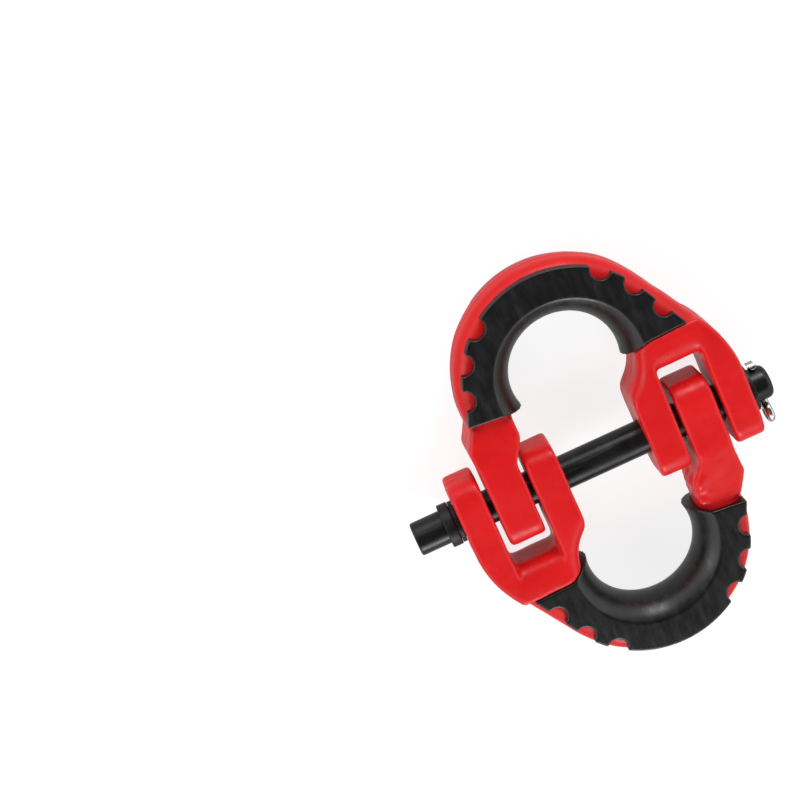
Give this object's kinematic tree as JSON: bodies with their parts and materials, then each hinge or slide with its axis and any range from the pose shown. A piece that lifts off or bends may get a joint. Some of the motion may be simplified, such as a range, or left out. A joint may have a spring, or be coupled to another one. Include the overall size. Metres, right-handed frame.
{
  "type": "split coupling link",
  "caption": "Split lifting and recovery link: forged halves folding on a long pin, with rubber saddles on both bows and a split pin to hold the pin in.",
  "frame": {"origin": "on the hinge pin's axis, at the middle of the bare span of the pin between the two forks", "axes": "+X along the pin from its head to the split pin, +Y along the link towards half B's bow, +Z normal to the link, up as it lies flat"},
  "size_m": [0.1772, 0.1972, 0.031],
  "materials": {
    "red_casting": "satin red powder coat on forged steel",
    "black_rubber": "moulded matt black rubber",
    "black_steel": "black oxide, semi-gloss, turned",
    "dark_washer": "black oxide, dull",
    "zinc_wire": "bright zinc plated wire"
  },
  "bodies": {
    "half_a": {"half_link_a": "red_casting", "isolator_a": "black_rubber"},
    "half_b": {"half_link_b": "red_casting", "isolator_b": "black_rubber"},
    "pin": {"hinge_pin": "black_steel", "pin_collar": "black_steel", "split_pin": "zinc_wire"},
    "head_washer": {"head_washer": "dark_washer"},
    "end_washer": {"end_washer": "dark_washer"}
  },
  "joints": [
    {"name": "link_fold", "type": "hinge", "parent": "half_a", "child": "half_b", "pos_m": [0, 0, 0], "axis": [1, 0, 0], "range_deg": [-95, 95]},
    {"name": "pin_turn", "type": "hinge", "parent": "half_a", "child": "pin", "pos_m": [0, 0, 0], "axis": [1, 0, 0], "continuous": true},
    {"name": "head_washer_turn", "type": "hinge", "parent": "pin", "child": "head_washer", "pos_m": [-0.07315, 0, 0], "axis": [1, 0, 0], "continuous": true},
    {"name": "end_washer_turn", "type": "hinge", "parent": "pin", "child": "end_washer", "pos_m": [0.07325, 0, 0], "axis": [1, 0, 0], "continuous": true}
  ]
}
